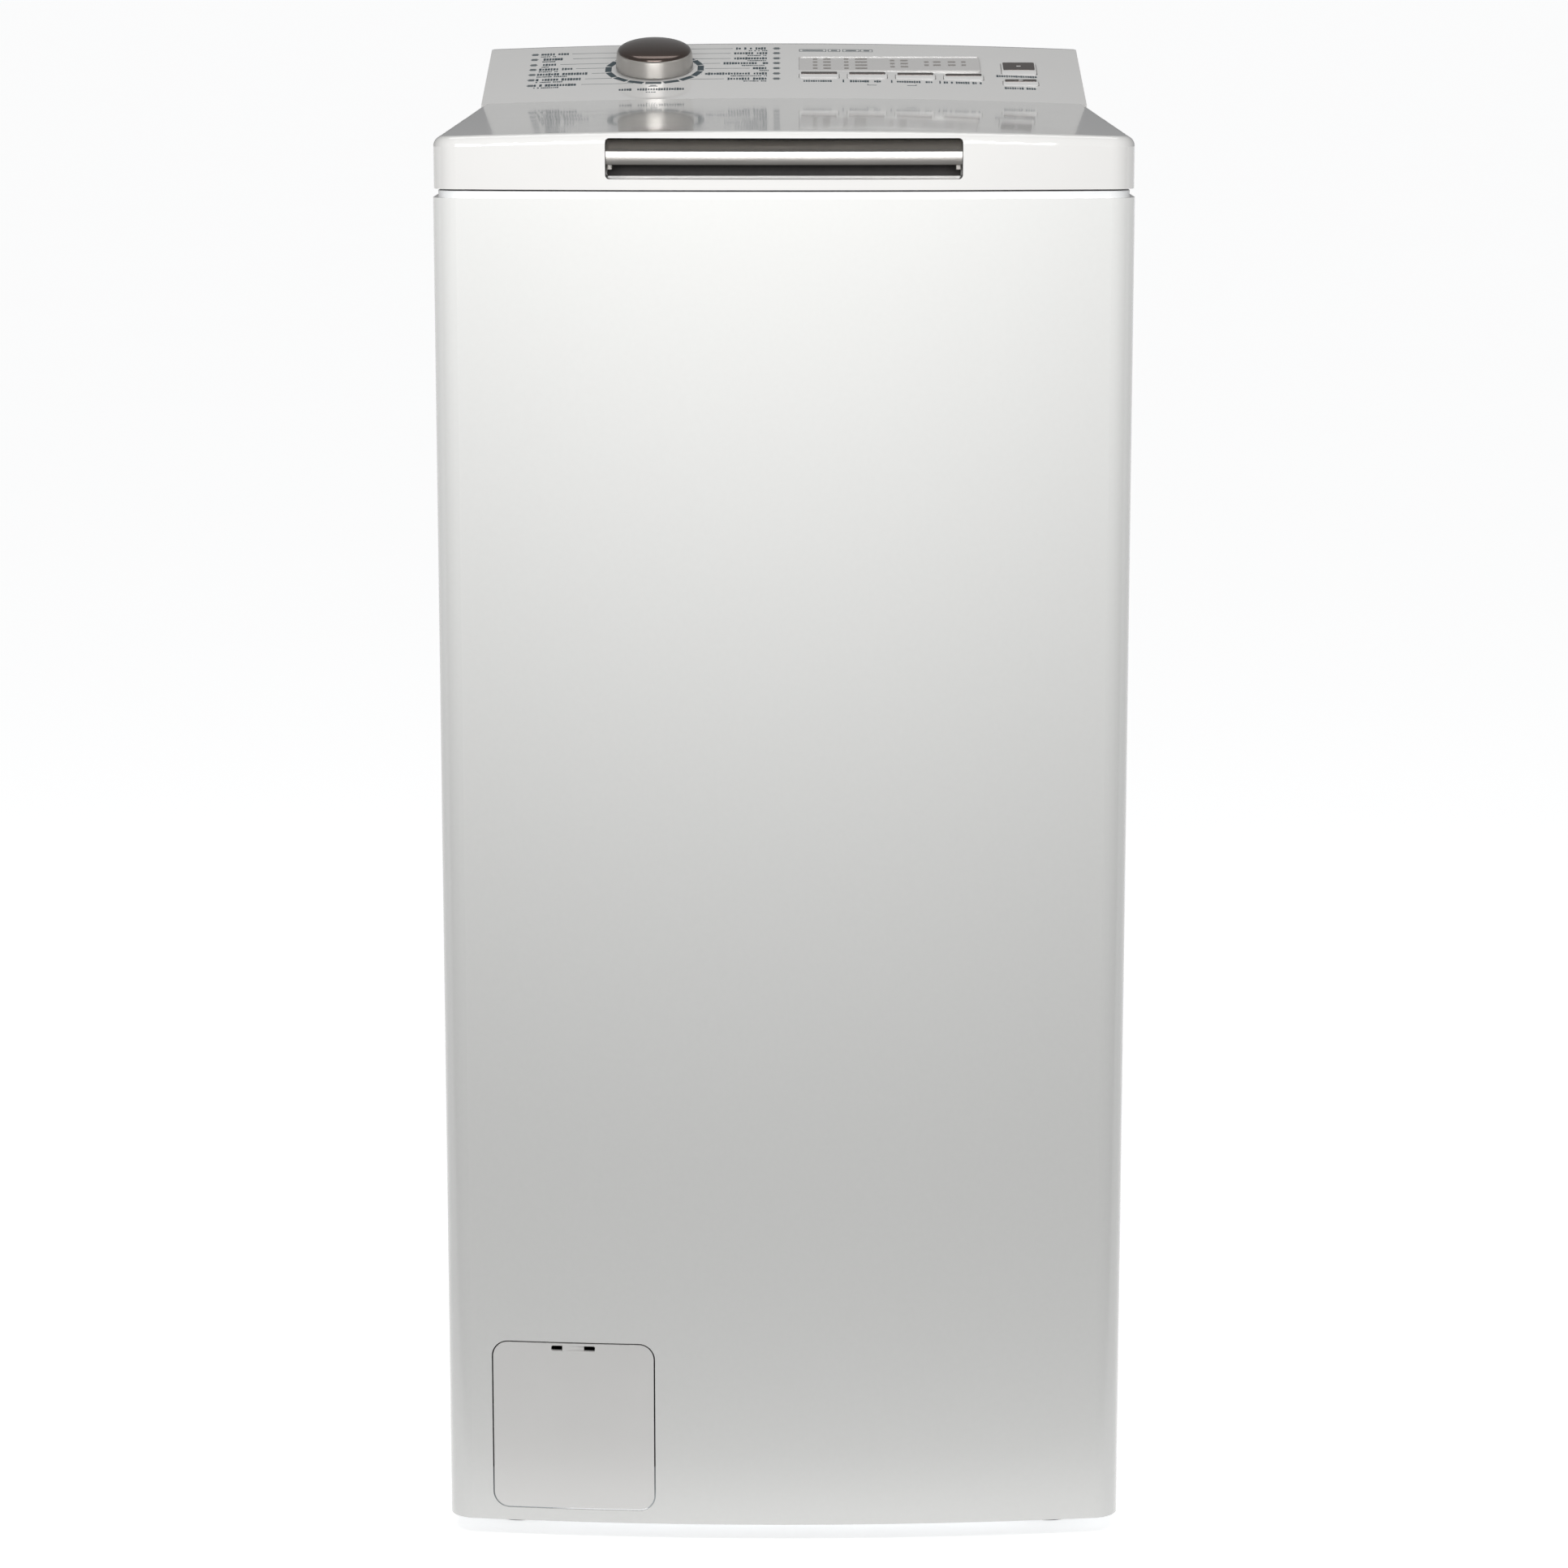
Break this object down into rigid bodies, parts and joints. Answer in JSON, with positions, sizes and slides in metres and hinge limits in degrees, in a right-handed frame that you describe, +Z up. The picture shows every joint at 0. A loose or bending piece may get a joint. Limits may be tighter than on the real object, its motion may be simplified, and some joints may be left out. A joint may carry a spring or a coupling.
{
  "type": "top load washing machine",
  "caption": "Narrow upright washing machine with a top lid, a horizontal drum with two flaps, a sloping rear control console and a low filter door.",
  "frame": {"origin": "on the floor, under the middle of the machine's bounding box", "axes": "+Z up, the front faces -Y, +X to the user's right as they face the front"},
  "size_m": [0.4, 0.6, 0.881],
  "materials": {
    "white_enamel": "gloss",
    "galvanised_steel": "satin",
    "white_plastic": "gloss",
    "lining_plastic": "satin",
    "grey_plastic": "matte",
    "satin_metal": "satin",
    "knob_plastic": "gloss",
    "key_plastic": "gloss",
    "display_glass": "gloss",
    "board_green": "matte",
    "stainless_steel": "satin",
    "lifter_plastic": "satin",
    "cast_aluminium": "satin",
    "motor_steel": "matte",
    "weight_iron": "matte",
    "black_rubber": "matte"
  },
  "bodies": {
    "cabinet": {"front_panel": "white_enamel", "left_side_panel": "white_enamel", "right_side_panel": "white_enamel", "rear_panel": "galvanised_steel", "rear_screws": "galvanised_steel", "base_pan": "galvanised_steel", "top_frame": "white_plastic", "console_shell": "white_plastic", "display_window": "display_glass", "control_board": "board_green", "inlet_valve": "grey_plastic", "fill_hose": "black_rubber", "drain_pump": "grey_plastic", "sump_hose": "black_rubber", "drain_hose": "black_rubber", "lid_lock": "grey_plastic", "cord_gland": "grey_plastic", "suspension_spring_left": "galvanised_steel", "suspension_spring_right": "galvanised_steel", "damper_cylinder_left": "grey_plastic", "damper_cylinder_right": "grey_plastic", "tub_gasket": "black_rubber", "rear_feet": "black_rubber"},
    "front_foot_left": {"front_foot_left": "black_rubber"},
    "front_foot_right": {"front_foot_right": "black_rubber"},
    "wash_unit": {"tub_left_half": "grey_plastic", "tub_right_half": "grey_plastic", "drum_bearings": "galvanised_steel", "heater": "galvanised_steel", "motor_stator": "motor_steel", "drive_belt": "black_rubber", "counterweight": "weight_iron", "damper_rod_left": "galvanised_steel", "damper_rod_right": "galvanised_steel"},
    "drum": {"drum_shell": "stainless_steel", "trunnion_left": "cast_aluminium", "trunnion_right": "cast_aluminium", "lifter_front": "lifter_plastic", "lifter_bottom": "lifter_plastic", "lifter_rear": "lifter_plastic", "drum_pulley": "cast_aluminium", "flap_hinge_pins": "galvanised_steel"},
    "drum_flap_front": {"drum_flap_front": "stainless_steel"},
    "drum_flap_rear": {"drum_flap_rear": "stainless_steel"},
    "flap_latch": {"flap_latch": "grey_plastic"},
    "motor_rotor": {"motor_rotor": "motor_steel"},
    "lid": {"lid_outer": "white_plastic", "lid_inner": "lining_plastic", "lid_handle": "satin_metal", "dispenser_box": "lining_plastic", "lid_hinge_pins": "galvanised_steel"},
    "program_knob": {"program_knob": "knob_plastic"},
    "filter_plug": {"filter_plug": "lining_plastic"},
    "filter_door": {"filter_door": "white_plastic"},
    "power_button": {"power_button": "key_plastic"},
    "start_button": {"start_button": "key_plastic"},
    "option_button_1": {"option_button_1": "key_plastic"},
    "option_button_2": {"option_button_2": "key_plastic"},
    "option_button_3": {"option_button_3": "key_plastic"},
    "option_button_4": {"option_button_4": "key_plastic"}
  },
  "joints": [
    {"name": "suspension", "type": "slide", "parent": "cabinet", "child": "wash_unit", "axis": [0, 0, 1], "range_m": [-0.01, 0.008], "stiffness_N_per_m": 16000, "springref_m": 0.03036, "deforming": ["suspension_spring_left", "suspension_spring_right", "tub_gasket", "sump_hose"]},
    {"name": "drum_spin", "type": "hinge", "parent": "wash_unit", "child": "drum", "pos_m": [0, -0.035, 0.43], "axis": [1, 0, 0], "range_deg": [-360, 360]},
    {"name": "motor_spin", "type": "hinge", "parent": "wash_unit", "child": "motor_rotor", "pos_m": [0, 0.165, 0.16], "axis": [1, 0, 0], "range_deg": [-4100, 4100]},
    {"name": "front_flap_hinge", "type": "hinge", "parent": "drum", "child": "drum_flap_front", "pos_m": [0, -0.14953, 0.62367], "axis": [1, 0, 0], "range_deg": [0, 80]},
    {"name": "rear_flap_hinge", "type": "hinge", "parent": "drum", "child": "drum_flap_rear", "pos_m": [0, 0.07953, 0.62367], "axis": [-1, 0, 0], "range_deg": [0, 80]},
    {"name": "flap_latch_slide", "type": "slide", "parent": "drum_flap_front", "child": "flap_latch", "axis": [0, -1, 0], "range_m": [0, 0.004], "stiffness_N_per_m": 300, "springref_m": -0.002},
    {"name": "lid_hinge", "type": "hinge", "parent": "cabinet", "child": "lid", "pos_m": [0, 0.1237, 0.8346], "axis": [-1, 0, 0], "range_deg": [0, 95]},
    {"name": "knob_turn", "type": "hinge", "parent": "cabinet", "child": "program_knob", "pos_m": [-0.087, 0.19723, 0.8592], "axis": [0, -0.2823, 0.9593], "continuous": true},
    {"name": "filter_plug_turn", "type": "hinge", "parent": "cabinet", "child": "filter_plug", "pos_m": [-0.125, -0.28, 0.07], "axis": [0, -1, 0], "range_deg": [0, 90]},
    {"name": "filter_door_hinge", "type": "hinge", "parent": "cabinet", "child": "filter_door", "pos_m": [-0.125, -0.2934, 0.0218], "axis": [0.9962, -0.0871, 0], "range_deg": [0, 90]},
    {"name": "front_foot_left_height", "type": "slide", "parent": "cabinet", "child": "front_foot_left", "axis": [0, 0, -1], "range_m": [0, 0.01]},
    {"name": "front_foot_right_height", "type": "slide", "parent": "cabinet", "child": "front_foot_right", "axis": [0, 0, -1], "range_m": [0, 0.01]},
    {"name": "option_button_1_press", "type": "slide", "parent": "cabinet", "child": "option_button_1", "axis": [0, 0.2823, -0.9593], "range_m": [0, 0.001], "stiffness_N_per_m": 400, "springref_m": -0.002},
    {"name": "option_button_2_press", "type": "slide", "parent": "cabinet", "child": "option_button_2", "axis": [0, 0.2823, -0.9593], "range_m": [0, 0.001], "stiffness_N_per_m": 400, "springref_m": -0.002},
    {"name": "option_button_3_press", "type": "slide", "parent": "cabinet", "child": "option_button_3", "axis": [0, 0.2823, -0.9593], "range_m": [0, 0.001], "stiffness_N_per_m": 400, "springref_m": -0.002},
    {"name": "option_button_4_press", "type": "slide", "parent": "cabinet", "child": "option_button_4", "axis": [0, 0.2823, -0.9593], "range_m": [0, 0.001], "stiffness_N_per_m": 400, "springref_m": -0.002},
    {"name": "power_button_press", "type": "slide", "parent": "cabinet", "child": "power_button", "axis": [0, 0.2823, -0.9593], "range_m": [0, 0.001], "stiffness_N_per_m": 400, "springref_m": -0.002},
    {"name": "start_button_press", "type": "slide", "parent": "cabinet", "child": "start_button", "axis": [0, 0.2823, -0.9593], "range_m": [0, 0.001], "stiffness_N_per_m": 400, "springref_m": -0.002}
  ],
  "couplings": [
    {"joint": "motor_spin", "follows": "drum_spin", "ratio": 11.364}
  ]
}
